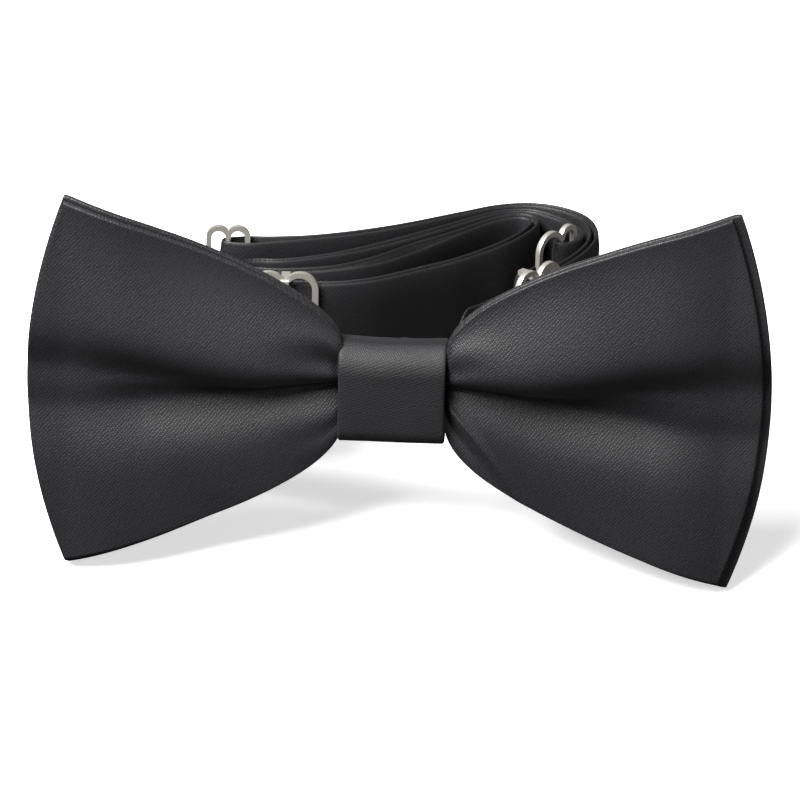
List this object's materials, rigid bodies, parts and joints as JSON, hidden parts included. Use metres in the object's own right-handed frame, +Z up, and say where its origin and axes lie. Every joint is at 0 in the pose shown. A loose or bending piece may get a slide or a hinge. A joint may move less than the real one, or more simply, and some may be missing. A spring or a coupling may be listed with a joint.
{
  "type": "bow tie",
  "caption": "Pre-tied satin bow tie with two stacked bows, a wrapped knot and a coiled two-part neckband with sliders, hook and eye.",
  "frame": {"origin": "centre of the whole object's box, on the surface that it lies on", "axes": "+X along the width of the bow, to the right of someone facing its front; +Y from the bow back to the coiled neckband; +Z up. The bow leans back 24 degrees onto its two lower corners and the coil."},
  "size_m": [0.1218, 0.0736, 0.0613],
  "materials": {
    "satin": "charcoal black polyester satin with a fine twill",
    "band_satin": "charcoal black satin ribbon tube",
    "interlining": "woven cotton interlining",
    "thread": "black polyester sewing thread",
    "nickel": "bright nickel plate"
  },
  "bodies": {
    "bow_and_band": {"front_bow_face": "satin", "front_bow_interlining": "interlining", "front_bow_backing": "satin", "back_bow_face": "satin", "back_bow_interlining": "interlining", "back_bow_backing": "satin", "waist_binding_thread": "thread", "knot_wrap": "satin", "knot_interlining": "interlining", "knot_seam_stitches": "thread", "left_band_cover": "band_satin", "left_band_interlining": "interlining", "left_return_run": "band_satin", "right_band_cover": "band_satin", "right_band_interlining": "interlining", "right_return_run": "band_satin", "band_anchor_stitches": "thread"},
    "left_slider_body": {"left_slider": "nickel", "left_slider_loop": "band_satin", "left_slider_stitches": "thread"},
    "right_slider_body": {"right_slider": "nickel", "right_slider_loop": "band_satin", "right_slider_stitches": "thread"},
    "hook_body": {"hook": "nickel"},
    "eye_body": {"eye": "nickel"}
  },
  "joints": [
    {"name": "left_slider_slide", "type": "slide", "parent": "bow_and_band", "child": "left_slider_body", "axis": [-1, 0, 0], "range_m": [0, 0.015], "deforming": ["left_return_run"]},
    {"name": "right_slider_slide", "type": "slide", "parent": "bow_and_band", "child": "right_slider_body", "axis": [-0.6, -0.7313, 0.3244], "range_m": [0, 0.009], "deforming": ["right_return_run"]},
    {"name": "hook_tilt", "type": "hinge", "parent": "bow_and_band", "child": "hook_body", "pos_m": [0.02595, 0.01793, 0.01438], "axis": [0, 0.4056, 0.9141], "range_deg": [-5, 8]},
    {"name": "eye_tilt", "type": "hinge", "parent": "bow_and_band", "child": "eye_body", "pos_m": [-0.03065, 0.01372, 0.01624], "axis": [0, 0.4056, 0.9141], "range_deg": [-8, 8]}
  ]
}
